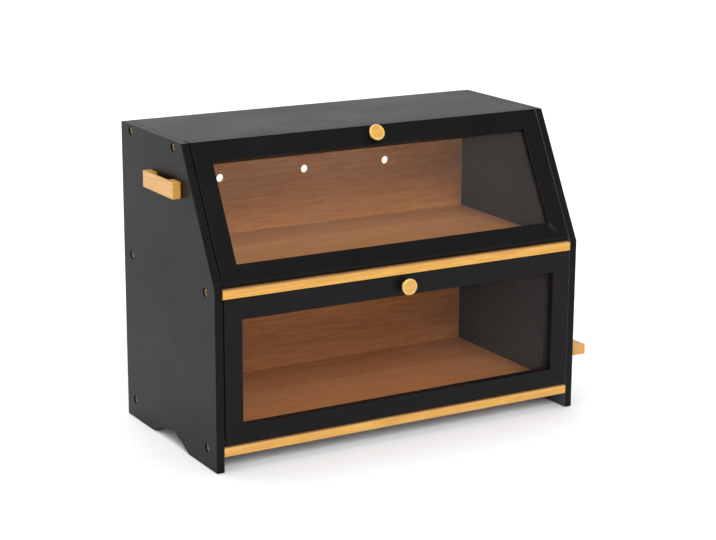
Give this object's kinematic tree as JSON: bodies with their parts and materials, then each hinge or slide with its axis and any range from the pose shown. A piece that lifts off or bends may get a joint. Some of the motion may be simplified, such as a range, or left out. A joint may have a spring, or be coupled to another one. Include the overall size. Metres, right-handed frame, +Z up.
{
  "type": "bread box",
  "caption": "Two-tier wooden bread box with a slanted upper front, drop-down windowed doors, round knobs, side handles and arched feet.",
  "frame": {"origin": "centre of the whole box's footprint, on the surface the feet stand on", "axes": "+X to the right as one faces the doors, -Y out of the front, +Z up"},
  "size_m": [0.5304, 0.2616, 0.3727],
  "materials": {
    "black_paint": "satin black paint",
    "bamboo": "satin lacquer over laminated bamboo strips",
    "dowel_wood": "bare",
    "clear_acrylic": "clear, polished",
    "brass": "satin",
    "steel": "zinc plated",
    "catch_plastic": "fine grain"
  },
  "bodies": {
    "carcass": {"side_panel_left": "black_paint", "side_panel_right": "black_paint", "top_board": "black_paint", "middle_shelf": "bamboo", "bottom_board": "bamboo", "back_panel": "bamboo", "back_panel_screws": "steel", "side_screws_left": "brass", "side_screws_right": "brass", "handle_left": "bamboo", "handle_right": "bamboo", "handle_dowels": "dowel_wood", "side_grip_right": "bamboo", "side_grip_dowels": "dowel_wood", "catch_block_upper": "catch_plastic", "catch_magnet_upper": "steel", "catch_block_lower": "catch_plastic", "catch_magnet_lower": "steel", "catch_screws": "steel"},
    "lower_door": {"lower_stile_left": "black_paint", "lower_stile_right": "black_paint", "lower_rail_top": "black_paint", "lower_rail_bottom": "black_paint", "lower_window": "clear_acrylic", "lower_knob": "bamboo", "lower_knob_screw": "steel", "lower_strike_plate": "steel", "lower_strike_screw": "steel", "lower_hinge_pins": "steel"},
    "upper_door": {"upper_stile_left": "black_paint", "upper_stile_right": "black_paint", "upper_rail_top": "black_paint", "upper_rail_bottom": "black_paint", "upper_window": "clear_acrylic", "upper_knob": "bamboo", "upper_knob_screw": "steel", "upper_strike_plate": "steel", "upper_strike_screw": "steel", "upper_hinge_pins": "steel"}
  },
  "joints": [
    {"name": "lower_door_hinge", "type": "hinge", "parent": "carcass", "child": "lower_door", "pos_m": [-0.00475, -0.1137, 0.0353], "axis": [1, 0, 0], "range_deg": [0, 94]},
    {"name": "upper_door_hinge", "type": "hinge", "parent": "carcass", "child": "upper_door", "pos_m": [-0.00475, -0.11012, 0.2213], "axis": [1, 0, 0], "range_deg": [0, 120]}
  ]
}
